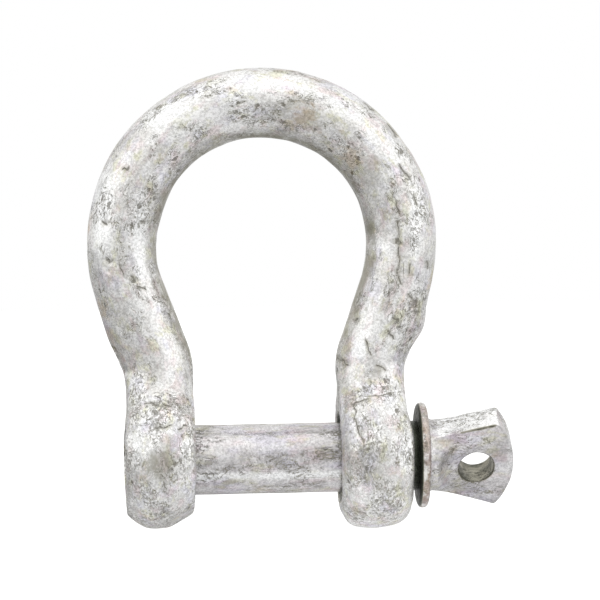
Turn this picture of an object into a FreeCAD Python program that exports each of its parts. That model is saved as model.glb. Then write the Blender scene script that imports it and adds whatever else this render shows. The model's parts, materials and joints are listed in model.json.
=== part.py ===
"""Bow shackle, 10 mm nominal, with a screw pin. Millimetres.

Frame: the origin is on the pin's axis, midway between the two ears. X runs along the pin, from the
threaded ear (-X) to the eye of the pin (+X). +Z points from the pin to the crown of the bow.
Three sub-parts: bow_body, screw_pin and pin_collar.
"""
import FreeCAD, Part
import os
import math
import Sketcher
from FreeCAD import Vector

SIZES = {
    # the bow: a round bar bent to a circle, with two legs that lean in and then run upright
    "bar_diameter": 10.0,
    "bow_radius": 20.1,          # to the bar's centreline
    "bow_centre_height": 30.8,   # above the pin's axis
    "leg_spacing": 30.2,         # between the centrelines of the upright legs
    "bend_radius": 7.0,          # where a leg turns upright
    "bend_height": 12.7,         # the upright run's upper end
    # the ears
    "ear_gap": 20.5,
    "threaded_ear_thickness": 9.9,
    "threaded_ear_diameter": 19.5,
    "plain_ear_thickness": 10.6,
    "plain_ear_diameter": 20.5,
    "ear_outer_round": 2.6,
    "ear_inner_round": 1.2,
    "plain_hole_diameter": 11.7,
    "mouth_chamfer": 0.5,
    # the swelling from the round leg to the wide ear
    "neck_top": 16.0,
    "neck_top_width": 9.0,
    "neck_middle": 11.0,
    "neck_middle_width": 12.4,
    "neck_foot": 4.0,
    "neck_foot_width": 17.6,
    "neck_depth": 9.7,           # along the pin
    "oval_margin": 0.01,         # keeps a neck's oval a little off the round
    # the pin
    "pin_diameter": 10.0,
    "tip_recess": 0.25,
    "tip_chamfer": 1.0,
    "collar_diameter": 15.3,
    "collar_thickness": 1.4,
    "collar_seat_gap": 0.75,     # the pin is not screwed quite home
    "collar_seat_diameter": 9.4,  # the pin under its collar
    "collar_seat_clearance": 0.05,
    "collar_rim_round": 0.6,
    "neck_diameter": 10.2,
    "neck_flare": 0.6,
    "neck_length": 3.2,
    "neck_core_length": 3.0,     # the neck tapers into the flat eye over this length
    "neck_core_diameter": 4.0,
    # the flat eye at the pin's end
    "eye_tab_length": 12.4,      # from the collar's outer face to the tip
    "eye_tab_root": 1.0,         # from the collar's outer face to where the fan begins
    "eye_tab_root_inset": 0.05,  # the fan's root is this far inside the neck
    "eye_tab_thickness": 4.4,
    "eye_tab_width": 14.3,
    "eye_tab_corner": 2.5,       # from the widest place to the tip
    "eye_tab_edge_round": 0.5,
    "eye_flat_start": 1.1,
    "eye_flat_radius": 4.2,
    "eye_hole_diameter": 5.1,
    "eye_hole_place": 7.0,       # from the collar's outer face
    "eye_hole_drop": 0.8,        # off the pin's axis, towards the fan's lower side
    "eye_tab_turn": 34.0,        # degrees about the pin, from upright
    # the thread
    "thread_pitch": 1.5,
    "thread_diameter": 9.9,
    "thread_root_diameter": 8.06,
    "thread_flank_angle": 30.0,  # degrees
    "pitch_line_share": 0.325,   # of a pitch, from the ridge's crest down to the pitch line
    "thread_relief_width": 1.6,
    "thread_relief_depth": 0.05,  # below the thread's root
    "thread_relief_bevel": 0.2,
    "thread_relief_end": 0.35,   # inside the threaded ear's inner face
    "thread_play": 0.17,         # along the pin, at each flank
    "ear_thread_bore": 8.7,
    "ear_thread_diameter": 10.36,
    "ear_mouth_diameter": 11.7,
    "ear_mouth_depth": 0.8,
    # how far a cut starts outside the metal
    "cut_margin": 1.0,
    "groove_margin": 0.1,
}
LEAST_CUT = 1e-3                 # mm3

LINE, ARC = "line", "arc"
HORIZONTAL_AXIS, VERTICAL_AXIS, ORIGIN = -1, -2, -1
START, END, CENTRE = 1, 2, 3
X_AXIS, Y_AXIS, Z_AXIS = Vector(1, 0, 0), Vector(0, 1, 0), Vector(0, 0, 1)

# places along the pin, in the sheet's terms
INNER_FACE = "(sizes.ear_gap / 2)"
THREADED_FACE = "(sizes.ear_gap / 2 + sizes.threaded_ear_thickness)"
PLAIN_FACE = "(sizes.ear_gap / 2 + sizes.plain_ear_thickness)"
COLLAR_IN = f"({PLAIN_FACE} + sizes.collar_seat_gap)"
COLLAR_OUT = f"({COLLAR_IN} + sizes.collar_thickness)"
# the collar sits in a shallow seat between two shoulders of the pin, just clear of both
SEAT_START = f"({COLLAR_IN} - sizes.collar_seat_clearance)"
TAB_ROOT = f"({COLLAR_OUT} + sizes.collar_seat_clearance)"
RELIEF_END = f"(-{INNER_FACE} - sizes.thread_relief_end)"
PIN_THREAD_START = f"(-{THREADED_FACE} - sizes.thread_pitch)"
LEG = "(sizes.leg_spacing / 2)"
# a thread's groove and ridge are each half a pitch wide at the pitch line
PITCH_LINE = "(sizes.thread_diameter / 2 - sizes.pitch_line_share * sizes.thread_pitch)"

doc = FreeCAD.newDocument("bow_shackle")
sheet = doc.addObject("Spreadsheet::Sheet", "sizes")
for row, (alias, number) in enumerate(SIZES.items(), start=1):
    sheet.set(f"A{row}", alias)
    sheet.set(f"B{row}", str(number))
    sheet.setAlias(f"B{row}", alias)
doc.recompute()


def size(expression):
    """The present value of an expression in the sheet's terms."""
    found = sheet.evalExpression(expression)
    return float(getattr(found, "Value", found))


def new_body(name):
    body = doc.addObject("PartDesign::Body", name)
    body.Label = name
    body.AllowCompound = True
    return body


def new_sketch(body, role, name, offset=None):
    """A sketch on one of the body's own origin planes, moved along the plane's normal by offset."""
    plane = next(f for f in body.Origin.OriginFeatures if f.Role == role)
    sketch = body.newObject("Sketcher::SketchObject", name)
    sketch.AttachmentSupport = [(plane, "")]
    sketch.MapMode = "FlatFace"
    if offset:
        sketch.setExpression(".AttachmentOffset.Base.z", offset)
    return sketch


def bind(sketch, kind, *args):
    """Adds one driving constraint; the last argument is the expression it follows."""
    *where, expression = args
    index = sketch.addConstraint(Sketcher.Constraint(kind, *where, size(expression)))
    sketch.setExpression(f"Constraints[{index}]", expression)


def bind_point(sketch, geometry, point, x, y):
    """Ties a point of the sketch to two expressions, or to an axis where one is 0."""
    if x == "0":
        sketch.addConstraint(Sketcher.Constraint("PointOnObject", geometry, point, VERTICAL_AXIS))
    else:
        bind(sketch, "DistanceX", ORIGIN, START, geometry, point, x)
    if y == "0":
        sketch.addConstraint(Sketcher.Constraint("PointOnObject", geometry, point, HORIZONTAL_AXIS))
    else:
        bind(sketch, "DistanceY", ORIGIN, START, geometry, point, y)


def draw_outline(sketch, steps):
    """A closed outline. Each step is (LINE, x, y) or (ARC, x, y, centre x, centre y), to the point x, y
    from the one before; the first step is reached from the last."""
    count = len(steps)
    places = [Vector(size(s[1]), size(s[2]), 0) for s in steps]
    ends = []
    for i, step in enumerate(steps):
        here, there = places[i - 1], places[i]
        if step[0] == LINE:
            sketch.addGeometry(Part.LineSegment(here, there), False)
            ends.append((START, END))
            continue
        centre = Vector(size(step[3]), size(step[4]), 0)
        first, last = here - centre, there - centre
        anticlockwise = first.x * last.y - first.y * last.x > 0
        if not anticlockwise:
            first, last = last, first
        circle = Part.Circle(centre, Z_AXIS, first.Length)
        angles = math.atan2(first.y, first.x), math.atan2(last.y, last.x)
        sketch.addGeometry(Part.ArcOfCircle(circle, *angles), False)
        ends.append((START, END) if anticlockwise else (END, START))
    for i in range(count):
        after = (i + 1) % count
        sketch.addConstraint(
            Sketcher.Constraint("Coincident", i, ends[i][1], after, ends[after][0]))
    for i, step in enumerate(steps):
        bind_point(sketch, i, ends[i][1], step[1], step[2])
        if step[0] == ARC:
            bind(sketch, "DistanceX", ORIGIN, START, i, CENTRE, step[3])
    return sketch


def revolve(body, kind, name, steps):
    """A Revolution or a Groove of an outline in the XZ plane, once round the X axis."""
    sketch = draw_outline(new_sketch(body, "XZ_Plane", name + "_outline"), steps)
    feature = body.newObject("PartDesign::" + kind, name)
    feature.Profile = sketch
    feature.ReferenceAxis = (sketch, ["H_Axis"])
    feature.Angle = 360.0
    return feature


def must_shrink(body, before):
    """Recomputes after a cut and makes sure that it took something away."""
    doc.recompute()
    if not body.Shape.Volume < before - LEAST_CUT:
        raise RuntimeError("the last cut of " + body.Label + " took nothing away")
    return body.Shape.Volume


def cut_thread(body, name, start, length, half_out, out, half_in, into):
    """Cuts a right-hand V groove round the X axis, from x = start and length long. half_out and
    half_in are half its width at the radii out and into."""
    sketch = draw_outline(new_sketch(body, "XZ_Plane", name + "_groove"), [
        (LINE, f"{start} - ({half_out})", out),
        (LINE, f"{start} + ({half_out})", out),
        (LINE, f"{start} + ({half_in})", into),
        (LINE, f"{start} - ({half_in})", into),
    ])
    helix = body.newObject("PartDesign::SubtractiveHelix", name)
    helix.Profile = sketch
    helix.ReferenceAxis = (sketch, ["H_Axis"])
    helix.Mode = "pitch-height-angle"
    helix.setExpression("Pitch", "sizes.thread_pitch")
    helix.setExpression("Height", length)
    return helix


def pin_half_width(radius):
    """Half the width of the pin's groove at a radius."""
    return f"sizes.thread_pitch / 4 + ({radius} - {PITCH_LINE}) * tan(sizes.thread_flank_angle)"


def ear_half_width(radius):
    """Half the width of the ear's groove at a radius: the pin's ridge there, and play."""
    ridge = f"sizes.thread_pitch / 4 - ({radius} - {PITCH_LINE}) * tan(sizes.thread_flank_angle)"
    return f"{ridge} + sizes.thread_play"


# ---- bow_body ---------------------------------------------------------------------------------


def draw_centreline(sketch):
    """The bar's centreline: up one leg, over the crown and down the other, tangent throughout."""
    leg, bend = size(LEG), size("sizes.bend_radius")
    top, crown = size("sizes.bend_height"), size("sizes.bow_centre_height")
    radius = size("sizes.bow_radius")
    # the lean of the leg's straight run, which is tangent to the bend and to the bow
    across, up = leg + bend, crown - top
    lean = math.atan2(up, across) - math.acos((radius + bend) / math.hypot(across, up))
    bend_end = Vector(across - bend * math.cos(lean), top + bend * math.sin(lean), 0)
    bow_end = Vector(radius * math.cos(lean), crown - radius * math.sin(lean), 0)

    def mirrored(p):
        return Vector(-p.x, p.y, 0)

    bends = [Part.Circle(Vector(side * across, top, 0), Z_AXIS, bend) for side in (1, -1)]
    bow = Part.Circle(Vector(0, crown, 0), Z_AXIS, radius)
    foot, upright = Vector(leg, 0, 0), Vector(leg, top, 0)
    sketch.addGeometry([
        Part.LineSegment(foot, upright),
        Part.ArcOfCircle(bends[0], math.pi - lean, math.pi),
        Part.LineSegment(bend_end, bow_end),
        Part.ArcOfCircle(bow, -lean, math.pi + lean),
        Part.LineSegment(mirrored(bow_end), mirrored(bend_end)),
        Part.ArcOfCircle(bends[1], 0, lean),
        Part.LineSegment(mirrored(upright), mirrored(foot)),
    ], False)
    for joint in ((0, END, 1, END), (1, START, 2, START), (2, END, 3, START),
                  (3, END, 4, START), (4, END, 5, END), (5, START, 6, START)):
        sketch.addConstraint(Sketcher.Constraint("Tangent", *joint))
    sketch.addConstraint([
        Sketcher.Constraint("Vertical", 0),
        Sketcher.Constraint("Symmetric", 0, START, 6, END, VERTICAL_AXIS),
        Sketcher.Constraint("Symmetric", 0, END, 6, START, VERTICAL_AXIS),
        Sketcher.Constraint("PointOnObject", 0, START, HORIZONTAL_AXIS),
        Sketcher.Constraint("PointOnObject", 3, CENTRE, VERTICAL_AXIS),
        Sketcher.Constraint("Equal", 1, 5),
    ])
    bind(sketch, "DistanceX", ORIGIN, START, 0, START, LEG)
    bind(sketch, "DistanceY", ORIGIN, START, 0, END, "sizes.bend_height")
    bind(sketch, "DistanceY", ORIGIN, START, 3, CENTRE, "sizes.bow_centre_height")
    bind(sketch, "Radius", 1, "sizes.bend_radius")
    bind(sketch, "Radius", 3, "sizes.bow_radius")


def add_bar(body):
    """The round bar along its centreline."""
    path = new_sketch(body, "XZ_Plane", "bar_centreline")
    draw_centreline(path)
    section = new_sketch(body, "XY_Plane", "bar_section")
    radius = size("sizes.bar_diameter / 2")
    section.addGeometry(Part.Circle(Vector(size(LEG), 0, 0), Z_AXIS, radius), False)
    bind_point(section, 0, CENTRE, LEG, "0")
    bind(section, "Diameter", 0, "sizes.bar_diameter")
    doc.recompute()
    bar = body.newObject("PartDesign::AdditivePipe", "bar")
    bar.Profile = section
    bar.Spine = (path, [f"Edge{i + 1}" for i in range(path.GeometryCount)])


def add_ear(body, name, side, face, diameter):
    """A thick disc about the pin's axis with rounded edges; side is "" for +X and "-" for -X."""
    inner, outer, top = f"{side}{INNER_FACE}", f"{side}{face}", f"{diameter} / 2"
    inwards, outwards = ("+", "-") if side else ("-", "+")
    out_x, out_r = f"{outer} {inwards} sizes.ear_outer_round", f"{top} - sizes.ear_outer_round"
    in_x, in_r = f"{inner} {outwards} sizes.ear_inner_round", f"{top} - sizes.ear_inner_round"
    revolve(body, "Revolution", name, [
        (LINE, outer, "0"),
        (LINE, outer, out_r),
        (ARC, out_x, top, out_x, out_r),
        (LINE, in_x, top),
        (ARC, inner, in_r, in_x, in_r),
        (LINE, inner, "0"),
    ])


def add_neck(body, name, side):
    """The swelling between a leg and its ear: a loft through three ovals, widest across the pin."""
    sections = []
    for level in ("top", "middle", "foot"):
        height, width = f"sizes.neck_{level}", f"sizes.neck_{level}_width / 2"
        # the topmost oval hides inside the bar
        depth = "sizes.neck_top_width / 2" if level == "top" else "sizes.neck_depth / 2"
        sketch = new_sketch(body, "XY_Plane", f"{name}_{level}", height)
        centre = f"{side}{LEG}"
        long_half = f"({width} + sizes.oval_margin)"
        shape = Part.Ellipse(Vector(size(centre), 0, 0), size(long_half), size(depth))
        shape.XAxis = Y_AXIS
        sketch.addGeometry(shape, False)
        sketch.exposeInternalGeometry(0)
        bind_point(sketch, 0, CENTRE, centre, "0")
        sketch.addConstraint(Sketcher.Constraint("Vertical", 1))
        bind(sketch, "Distance", 1, f"2 * {long_half}")
        bind(sketch, "Distance", 2, f"2 * {depth}")
        sections.append(sketch)
    doc.recompute()
    loft = body.newObject("PartDesign::AdditiveLoft", name)
    loft.Profile = sections[0]
    loft.Sections = sections[1:]


def make_bow_body():
    body = new_body("bow_body")
    add_bar(body)
    doc.recompute()
    add_ear(body, "threaded_ear", "-", THREADED_FACE, "sizes.threaded_ear_diameter")
    add_ear(body, "plain_ear", "", PLAIN_FACE, "sizes.plain_ear_diameter")
    doc.recompute()
    add_neck(body, "threaded_neck", "-")
    add_neck(body, "plain_neck", "")
    doc.recompute()
    volume = body.Shape.Volume

    # the plain ear's hole, with a chamfer at both mouths
    hole, mouth, margin = "sizes.plain_hole_diameter / 2", "sizes.mouth_chamfer", "sizes.cut_margin"
    revolve(body, "Groove", "plain_hole", [
        (LINE, f"{INNER_FACE} - {margin}", "0"),
        (LINE, f"{INNER_FACE} - {margin}", f"{hole} + {mouth} + {margin}"),
        (LINE, f"{INNER_FACE} + {mouth}", hole),
        (LINE, f"{PLAIN_FACE} - {mouth}", hole),
        (LINE, f"{PLAIN_FACE} + {margin}", f"{hole} + {mouth} + {margin}"),
        (LINE, f"{PLAIN_FACE} + {margin}", "0"),
    ])
    volume = must_shrink(body, volume)

    # the threaded ear's bore: a counterbore at the inner mouth clears the pin's plain shank
    bore, wide = "sizes.ear_thread_bore / 2", "sizes.ear_mouth_diameter / 2"
    mouth_end, taper = f"-{INNER_FACE} - sizes.ear_mouth_depth", f"({wide} - {bore})"
    revolve(body, "Groove", "threaded_bore", [
        (LINE, f"-{INNER_FACE} + {margin}", "0"),
        (LINE, f"-{INNER_FACE} + {margin}", wide),
        (LINE, mouth_end, wide),
        (LINE, f"{mouth_end} - {taper}", bore),
        (LINE, f"-{THREADED_FACE} + {taper}", bore),
        (LINE, f"-{THREADED_FACE} - {margin}", f"{wide} + {margin}"),
        (LINE, f"-{THREADED_FACE} - {margin}", "0"),
    ])
    volume = must_shrink(body, volume)

    # the ear's groove runs where the pin's ridge is: half a pitch on, less the pin's own turn
    start = f"({PIN_THREAD_START} - sizes.thread_pitch * (0.5 + sizes.eye_tab_turn / 360))"
    length = f"-{INNER_FACE} + sizes.thread_pitch - {start}"
    out, into = f"({bore} - sizes.groove_margin)", "(sizes.ear_thread_diameter / 2)"
    cut_thread(body, "ear_thread", start, length,
               ear_half_width(out), out, ear_half_width(into), into)
    must_shrink(body, volume)
    return body


# ---- screw_pin --------------------------------------------------------------------------------

def add_eye_tab(body):
    """The flat fan: straight flaring sides from the neck, rounded corners and a bowed end."""
    root = f"{COLLAR_OUT} + sizes.eye_tab_root"
    half_root = "sizes.neck_diameter / 2 - sizes.eye_tab_root_inset"
    tip = f"({COLLAR_OUT} + sizes.eye_tab_length)"
    widest, half = f"({tip} - sizes.eye_tab_corner)", "sizes.eye_tab_width / 2"
    # the end is an arc through both corners and the tip, about a centre on the pin's axis
    rise = "sizes.eye_tab_corner"
    end_radius = f"((({half}) ^ 2 + {rise} ^ 2) / (2 * {rise}))"
    centre = f"({tip} - {end_radius})"
    sketch = draw_outline(new_sketch(body, "XZ_Plane", "eye_tab_outline"), [
        (LINE, root, half_root),
        (LINE, root, f"-({half_root})"),
        (LINE, widest, f"-({half})"),
        (ARC, widest, half, centre, "0"),
    ])
    pad = body.newObject("PartDesign::Pad", "eye_tab")
    pad.Profile = sketch
    pad.SideType = "Symmetric"
    pad.setExpression("Length", "sizes.eye_tab_thickness")
    doc.recompute()
    rounds = body.newObject("PartDesign::Fillet", "eye_tab_rounds")
    rounds.Base = (pad, [f"Edge{i + 1}" for i in range(len(pad.Shape.Edges))])
    rounds.setExpression("Radius", "sizes.eye_tab_edge_round")
    doc.recompute()


def add_shank(body):
    """The turned outline: threaded tip, relief, plain shank, shoulder, round neck and its core."""
    tip = f"(-{THREADED_FACE} + sizes.tip_recess)"
    crest, shank, seat = (f"sizes.{a}_diameter / 2" for a in ("thread", "pin", "collar_seat"))
    relief = "(sizes.thread_root_diameter / 2 - sizes.thread_relief_depth)"
    relief_start = f"({RELIEF_END} - sizes.thread_relief_width)"
    bevel = "sizes.thread_relief_bevel"
    neck, flare = "sizes.neck_diameter / 2", "sizes.neck_flare"
    neck_end = f"{TAB_ROOT} + sizes.neck_length"
    core_end = f"{neck_end} + sizes.neck_core_length"
    revolve(body, "Revolution", "shank", [
        (LINE, tip, "0"),
        (LINE, tip, f"{crest} - sizes.tip_chamfer"),
        (LINE, f"{tip} + sizes.tip_chamfer", crest),
        (LINE, relief_start, crest),
        (LINE, f"{relief_start} + {bevel}", relief),
        (LINE, f"{RELIEF_END} - {bevel}", relief),
        (LINE, RELIEF_END, f"{shank} - {bevel}"),
        (LINE, f"{RELIEF_END} + {bevel}", shank),
        (LINE, SEAT_START, shank),
        (LINE, SEAT_START, seat),
        (LINE, TAB_ROOT, seat),
        (LINE, TAB_ROOT, f"{neck} + {flare}"),
        (ARC, f"{TAB_ROOT} + {flare}", neck, f"{TAB_ROOT} + {flare}", f"{neck} + {flare}"),
        (LINE, neck_end, neck),
        (LINE, core_end, "sizes.neck_core_diameter / 2"),
        (LINE, core_end, "0"),
    ])
    doc.recompute()


def cut_flats(body):
    """Scoops the round neck down to the fan's two faces, with an arc where each face begins."""
    half = "sizes.eye_tab_thickness / 2"
    begin, radius = f"({COLLAR_OUT} + sizes.eye_flat_start)", "sizes.eye_flat_radius"
    tip = f"({COLLAR_OUT} + sizes.eye_tab_length + sizes.cut_margin)"
    for name, side in (("upper", ""), ("lower", "-")):
        volume = body.Shape.Volume
        face, clear = f"{side}({half})", f"{side}({half} + {radius})"
        sketch = draw_outline(new_sketch(body, "XY_Plane", f"{name}_flat_outline"), [
            (LINE, begin, clear),
            (ARC, f"{begin} + {radius}", face, f"{begin} + {radius}", clear),
            (LINE, tip, face),
            (LINE, tip, clear),
        ])
        pocket = body.newObject("PartDesign::Pocket", f"{name}_flat")
        pocket.Profile = sketch
        pocket.SideType = "Symmetric"
        pocket.setExpression("Length", "2 * sizes.eye_tab_width")
        must_shrink(body, volume)


def cut_eye_hole(body):
    volume = body.Shape.Volume
    place, drop = f"{COLLAR_OUT} + sizes.eye_hole_place", "-sizes.eye_hole_drop"
    centre, radius = Vector(size(place), size(drop), 0), size("sizes.eye_hole_diameter / 2")
    sketch = new_sketch(body, "XZ_Plane", "eye_hole_outline")
    sketch.addGeometry(Part.Circle(centre, Z_AXIS, radius), False)
    bind_point(sketch, 0, CENTRE, place, drop)
    bind(sketch, "Diameter", 0, "sizes.eye_hole_diameter")
    pocket = body.newObject("PartDesign::Pocket", "eye_hole")
    pocket.Profile = sketch
    pocket.SideType = "Symmetric"
    pocket.setExpression("Length", "3 * sizes.eye_tab_thickness")
    must_shrink(body, volume)


def make_screw_pin():
    body = new_body("screw_pin")
    add_eye_tab(body)
    add_shank(body)
    cut_flats(body)
    cut_eye_hole(body)
    volume = body.Shape.Volume
    root = "(sizes.thread_root_diameter / 2)"
    over = "(sizes.thread_diameter / 2 + sizes.groove_margin)"
    # the groove ends midway along the relief
    length = f"{RELIEF_END} - sizes.thread_relief_width / 2 - {PIN_THREAD_START}"
    cut_thread(body, "pin_thread", PIN_THREAD_START, length,
               pin_half_width(over), over, pin_half_width(root), root)
    must_shrink(body, volume)
    turn = FreeCAD.Rotation(X_AXIS, size("sizes.eye_tab_turn"))
    body.Placement = FreeCAD.Placement(Vector(), turn)
    body.setExpression(".Placement.Rotation.Angle", "sizes.eye_tab_turn * 1 deg")
    return body


# ---- pin_collar -------------------------------------------------------------------------------

def make_pin_collar():
    """A flat ring with a rounded rim, made from x = 0 outwards and placed against the plain ear."""
    body = new_body("pin_collar")
    bore = "sizes.collar_seat_diameter / 2 + sizes.collar_seat_clearance"
    top, thick = "sizes.collar_diameter / 2", "sizes.collar_thickness"
    rim = "sizes.collar_rim_round"
    revolve(body, "Revolution", "ring", [
        (LINE, "0", bore),
        (LINE, "0", f"{top} - {rim}"),
        (ARC, rim, top, rim, f"{top} - {rim}"),
        (LINE, f"{thick} - {rim}", top),
        (ARC, thick, f"{top} - {rim}", f"{thick} - {rim}", f"{top} - {rim}"),
        (LINE, thick, bore),
    ])
    body.setExpression(".Placement.Base.x", COLLAR_IN)
    return body


# ---- write ------------------------------------------------------------------------------------

def faults():
    """Every object that failed to recompute, and every sub-part whose shape isn't one sound solid."""
    found = [f"{o.Name}: {o.State}" for o in doc.Objects if {"Invalid", "Error"} & set(o.State)]
    for body in sub_parts:
        shape = body.Shape
        if shape.isNull() or not shape.isValid():
            found.append(body.Label + " has no valid shape")
        elif len(shape.Solids) != 1:
            found.append(f"{body.Label} has {len(shape.Solids)} solids")
    return found


sub_parts = [make_bow_body(), make_screw_pin(), make_pin_collar()]
doc.recompute()
if faults():
    raise RuntimeError("; ".join(faults()))

os.makedirs("parts", exist_ok=True)
for body in sub_parts:
    body.Shape.exportStep(f"parts/{body.Label}.step")
    box = body.Shape.BoundBox
    print(f"{body.Label}: {body.Shape.Volume:.1f} mm3, x {box.XMin:.2f} to {box.XMax:.2f}, "
          f"y {box.YMin:.2f} to {box.YMax:.2f}, z {box.ZMin:.2f} to {box.ZMax:.2f}")
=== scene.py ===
"""Bow shackle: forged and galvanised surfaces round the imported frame, with stage, lights and camera.

Lengths are worked out in millimetres and become metres as each mesh is made. The bow and the pin's
head are made as fields (a number for each point in space, below 0 inside the metal), meshed where the
field is 0, and then given the dents of the forging. The pin's shank, its collar and both threads are
turned meshes, and the threads are true helices.
"""
import json
import math
import bpy
import numpy as np
from mathutils import Matrix, Vector, noise


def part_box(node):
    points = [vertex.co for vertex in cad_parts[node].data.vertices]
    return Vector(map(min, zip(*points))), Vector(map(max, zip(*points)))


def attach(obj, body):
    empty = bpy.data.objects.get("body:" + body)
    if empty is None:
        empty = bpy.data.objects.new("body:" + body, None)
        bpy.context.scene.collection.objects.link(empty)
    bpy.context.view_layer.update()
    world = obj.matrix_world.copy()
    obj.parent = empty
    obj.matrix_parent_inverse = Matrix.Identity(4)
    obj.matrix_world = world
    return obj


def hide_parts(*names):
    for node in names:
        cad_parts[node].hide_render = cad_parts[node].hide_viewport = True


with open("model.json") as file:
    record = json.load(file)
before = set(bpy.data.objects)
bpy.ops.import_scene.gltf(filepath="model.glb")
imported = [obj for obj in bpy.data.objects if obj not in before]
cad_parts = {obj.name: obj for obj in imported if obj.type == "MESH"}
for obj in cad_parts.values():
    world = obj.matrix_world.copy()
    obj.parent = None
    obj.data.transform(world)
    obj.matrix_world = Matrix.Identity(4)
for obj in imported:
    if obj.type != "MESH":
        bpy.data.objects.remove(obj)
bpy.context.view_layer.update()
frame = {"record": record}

MM = 0.001

# ---- sizes, in millimetres ----

MOUNTS = {m["name"]: m for m in frame["record"]["mounts"]}
BOW_LOW, BOW_HIGH = (np.array(c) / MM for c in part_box("bow_body"))
PIN_LOW, PIN_HIGH = (np.array(c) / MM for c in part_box("screw_pin"))
COLLAR_LOW, COLLAR_HIGH = (np.array(c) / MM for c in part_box("pin_collar"))

PIN_RADIUS = MOUNTS["pin_shank"]["dims"]["r_mm"]
EYE_HOLE_RADIUS = MOUNTS["eye_hole"]["dims"]["r_mm"]
EYE_AXIS = MOUNTS["eye_hole"]["axis"]
EYE_TURN = math.atan2(-EYE_AXIS[2], -EYE_AXIS[1])  # the flat eye's turn about the pin
EYE_HOLE_X, hole_y, hole_z = (c / MM for c in MOUNTS["eye_hole"]["pos_m"])
EYE_HOLE_Z = hole_z * math.cos(EYE_TURN) - hole_y * math.sin(EYE_TURN)  # with the eye upright

SKIN = 0.03  # how far the outermost surfaces stay inside the CAD box
BAR_RADIUS = 5.0
BOW_RADIUS = BOW_HIGH[0] - BAR_RADIUS - SKIN
BOW_CENTRE_Z = BOW_HIGH[2] - BAR_RADIUS - BOW_RADIUS - 0.04
LEG_X = 15.1
BEND_RADIUS = 7.0
BEND_Z = 12.7
NECK_LOW, NECK_HIGH = 5.0, 14.0  # the bar widens into the ear between these heights
NECK_EXTRA = 2.3  # how much wider it gets, each way
DRAWN_Z, DRAWN_REACH = 28, 9  # the sides of the bow, drawn out as it was bent
DRAWN_DEPTH = 0.09  # how much slimmer they are
JAW = 10.25  # from the middle to an ear's inner face
THREADED_EAR = 9.9  # thickness
THREADED_EAR_RADIUS = 9.7
PLAIN_EAR = 10.6
PLAIN_EAR_RADIUS = -BOW_LOW[2]
PLAIN_HOLE_RADIUS = 5.85
COUNTERSINK = 0.80  # round the plain hole's inner mouth
LEGS_STRAIGHT = 9.5  # the height up to which the legs run straight
EARS_TOP = 8  # above this the holes play no part
NOWHERE = 1e3  # a field's value far from its surface

PITCH = 1.5
THREAD_RADIUS = 4.95  # the radii of the pin's thread
THREAD_ROOT = 4.03
THREAD_PLAY = 0.17  # along the pin, at each flank
EAR_BORE = 4.35  # the radii of the ear's thread
EAR_ROOT = 5.18
MOUTH_RADIUS = 5.85  # the threaded ear's counterbore
MOUTH_DEPTH = 0.8
THREAD_START = -JAW - THREADED_EAR - PITCH
GROOVE_ANGLE = math.pi / 2  # where the pin's groove starts with the eye upright: at +Z
PITCH_LINE = THREAD_RADIUS - 0.325 * PITCH  # the radius where ridge and groove are equally wide
FLANK = math.tan(math.radians(30))
RELIEF_END = -JAW - 0.35  # just inside the threaded ear
RELIEF_START = RELIEF_END - 1.6

COLLAR_IN, COLLAR_OUT = COLLAR_LOW[0], COLLAR_HIGH[0]
COLLAR_RADIUS = COLLAR_HIGH[2]
SEAT_PLAY = 0.05
SEAT_RADIUS = 4.7
NECK_RADIUS = 4.97
NECK_LENGTH = 6.0  # from the seat, most of it inside the fan
FAN_ROOT = 4.5  # the flat fan's half width at the neck
EYE_DROOP = 0.4  # how far the fan's end leans to its lower side
EYE_HALF_WIDTH = 7.15
EYE_HALF_THICKNESS = 2.2
EYE_CORNER = 2.5  # from the widest place to the tip
SCOOP_START, SCOOP_RADIUS = 1.1, 4.2  # the start is measured from the seat

BOW_CELL, HEAD_CELL = 0.3, 0.2  # the meshes' fineness


# ---- fields ----

def smooth_union(a, b, blend):
    """The union of two fields with a fillet of about blend between them."""
    h = np.clip(0.5 + 0.5 * (b - a) / blend, 0, 1)
    return b + (a - b) * h - blend * h * (1 - h)


def smooth_both(a, b, blend):
    """What two fields share, with a rounded edge."""
    return -smooth_union(-a, -b, blend)


def smooth_step(low, high, value):
    """0 up to low and 1 from high on, smoothly between."""
    t = np.clip((value - low) / (high - low), 0, 1)
    return t * t * (3 - 2 * t)


def beyond(p, normal, distance):
    """A half-space's field: below 0 on the origin's side of a plane."""
    n = np.array(normal, float)
    return p @ (n / np.linalg.norm(n)) - distance


def hole(p, radius):
    """Below 0 inside a hole about the X axis."""
    return np.hypot(p[..., 1], p[..., 2]) - radius


def run_distance(x, z, start, end):
    """The distance in the XZ plane to a straight run."""
    d = np.subtract(end, start)
    t = np.clip(((x - start[0]) * d[0] + (z - start[1]) * d[1]) / (d @ d), 0, 1)
    return np.hypot(x - start[0] - t * d[0], z - start[1] - t * d[1])


def arc_distance(x, z, centre, radius, low, high):
    """The distance in the XZ plane to an arc; past its ends, its neighbours are nearer."""
    u, v = x - centre[0], z - centre[1]
    inside = (np.arctan2(v, u) - low) % (2 * math.pi) <= high - low
    return np.where(inside, np.abs(np.hypot(u, v) - radius), np.inf)


def centreline():
    """The ends of the bar's leaning runs in the XZ plane, on the right: at the bend and at the bow."""
    across, up = LEG_X + BEND_RADIUS, BOW_CENTRE_Z - BEND_Z
    lean = math.atan2(up, across) - math.acos((BOW_RADIUS + BEND_RADIUS) / math.hypot(across, up))
    c, s = math.cos(lean), math.sin(lean)
    bend_end = (across - BEND_RADIUS * c, BEND_Z + BEND_RADIUS * s)
    bow_end = (BOW_RADIUS * c, BOW_CENTRE_Z - BOW_RADIUS * s)
    return lean, bend_end, bow_end


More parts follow.
